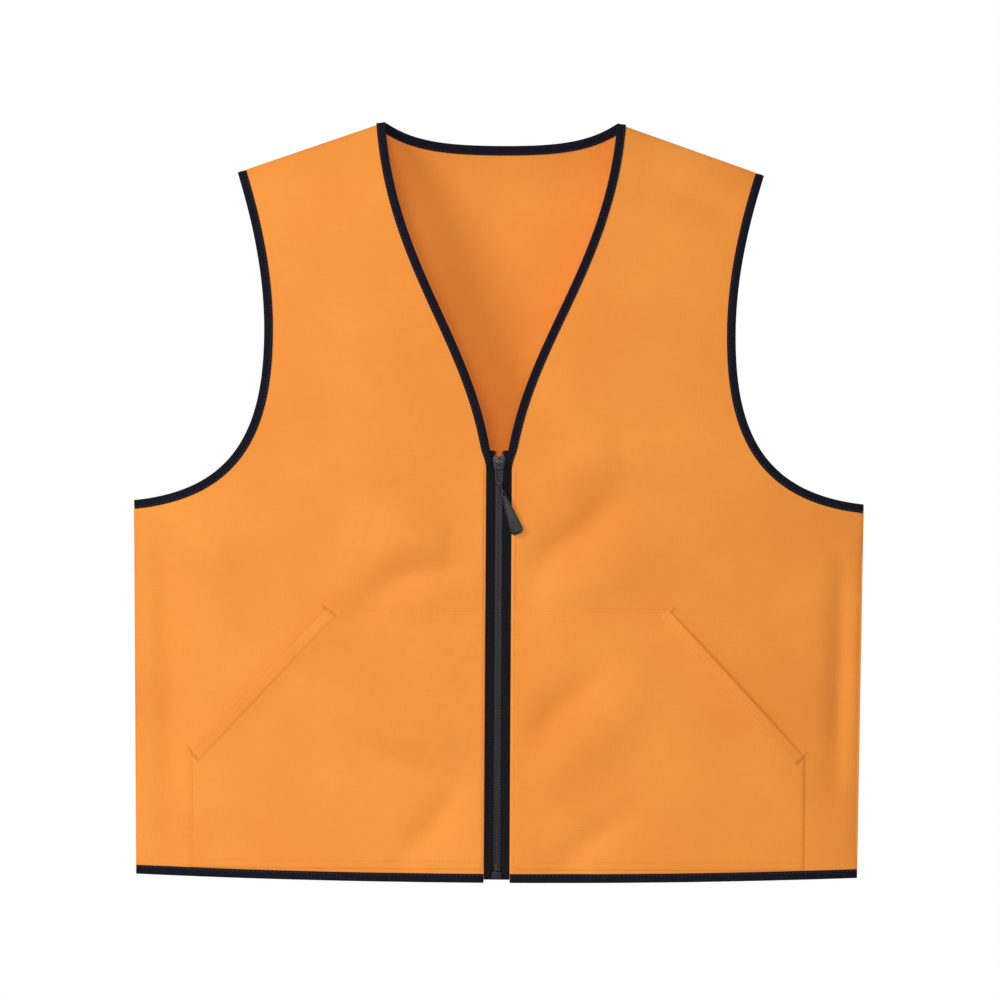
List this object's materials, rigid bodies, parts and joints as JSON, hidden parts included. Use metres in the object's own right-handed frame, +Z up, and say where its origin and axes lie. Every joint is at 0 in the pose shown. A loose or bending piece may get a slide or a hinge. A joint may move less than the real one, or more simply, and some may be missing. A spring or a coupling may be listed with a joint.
{
  "type": "sleeveless zip vest",
  "caption": "Sleeveless cloth vest with a V neck, bound edges, a separating front zip with a hanging puller, and slanted patch pockets low on each front.",
  "frame": {"origin": "midway between the two neck points, where the shoulder seams meet the neck", "axes": "+Z up as worn, -Y the way the front faces, +X the wearer's left"},
  "size_m": [0.654, 0.0702, 0.68],
  "materials": {
    "orange_cloth": "plain-woven polyester, blaze orange, slight sheen",
    "orange_thread": "polyester sewing thread",
    "binding": "woven bias binding, near black with a navy tint",
    "zip_tape": "woven polyester zip tape",
    "zip_nylon": "moulded nylon",
    "black_enamel": "black enamelled zinc",
    "grip_rubber": "moulded soft plastic"
  },
  "bodies": {
    "root": {"back_panel": "orange_cloth", "neck_binding_back": "binding", "hem_binding_back": "binding", "front_panel_side_left": "orange_cloth", "neck_binding_side_left": "binding", "hem_binding_side_left": "binding", "pocket_side_left": "orange_cloth", "bar_tack_upper_left": "orange_thread", "bar_tack_lower_left": "orange_thread", "shoulder_seam_left": "orange_cloth", "side_seam_left": "orange_cloth", "armhole_binding_front_left": "binding", "armhole_binding_back_left": "binding", "front_panel_side_right": "orange_cloth", "neck_binding_side_right": "binding", "hem_binding_side_right": "binding", "pocket_side_right": "orange_cloth", "bar_tack_upper_right": "orange_thread", "bar_tack_lower_right": "orange_thread", "shoulder_seam_right": "orange_cloth", "side_seam_right": "orange_cloth", "armhole_binding_front_right": "binding", "armhole_binding_back_right": "binding"},
    "front_left": {"front_panel_flap_left": "orange_cloth", "neck_binding_flap_left": "binding", "hem_binding_flap_left": "binding", "pocket_flap_left": "orange_cloth", "zip_tape_left": "zip_tape", "zip_teeth_left": "zip_nylon", "top_stop_left": "zip_nylon", "retainer_box": "zip_nylon"},
    "front_right": {"front_panel_flap_right": "orange_cloth", "neck_binding_flap_right": "binding", "hem_binding_flap_right": "binding", "pocket_flap_right": "orange_cloth", "zip_tape_right": "zip_tape", "zip_teeth_right": "zip_nylon", "top_stop_right": "zip_nylon", "insertion_pin": "zip_nylon"},
    "slider": {"slider_body": "black_enamel", "slider_crown": "black_enamel"},
    "tab": {"pull_tab": "black_enamel"},
    "grip": {"pull_grip": "grip_rubber"}
  },
  "joints": [
    {"name": "open_left", "type": "hinge", "parent": "root", "child": "front_left", "pos_m": [0.088, -0.03335, -0.35], "axis": [0, 0, 1], "range_deg": [0, 165]},
    {"name": "open_right", "type": "hinge", "parent": "root", "child": "front_right", "pos_m": [-0.088, -0.03335, -0.35], "axis": [0, 0, -1], "range_deg": [0, 165]},
    {"name": "zip_slide", "type": "slide", "parent": "front_left", "child": "slider", "axis": [0, 0, -1], "range_m": [0, 0.3586], "deforming": ["zip_teeth_left", "zip_teeth_right"]},
    {"name": "tab_flip", "type": "hinge", "parent": "slider", "child": "tab", "pos_m": [0, -0.0347, -0.3039], "axis": [-1, 0, 0], "range_deg": [0, 160]},
    {"name": "grip_swing", "type": "hinge", "parent": "tab", "child": "grip", "pos_m": [0, -0.0347, -0.3233], "axis": [0, -1, 0], "range_deg": [-46, 4]}
  ]
}
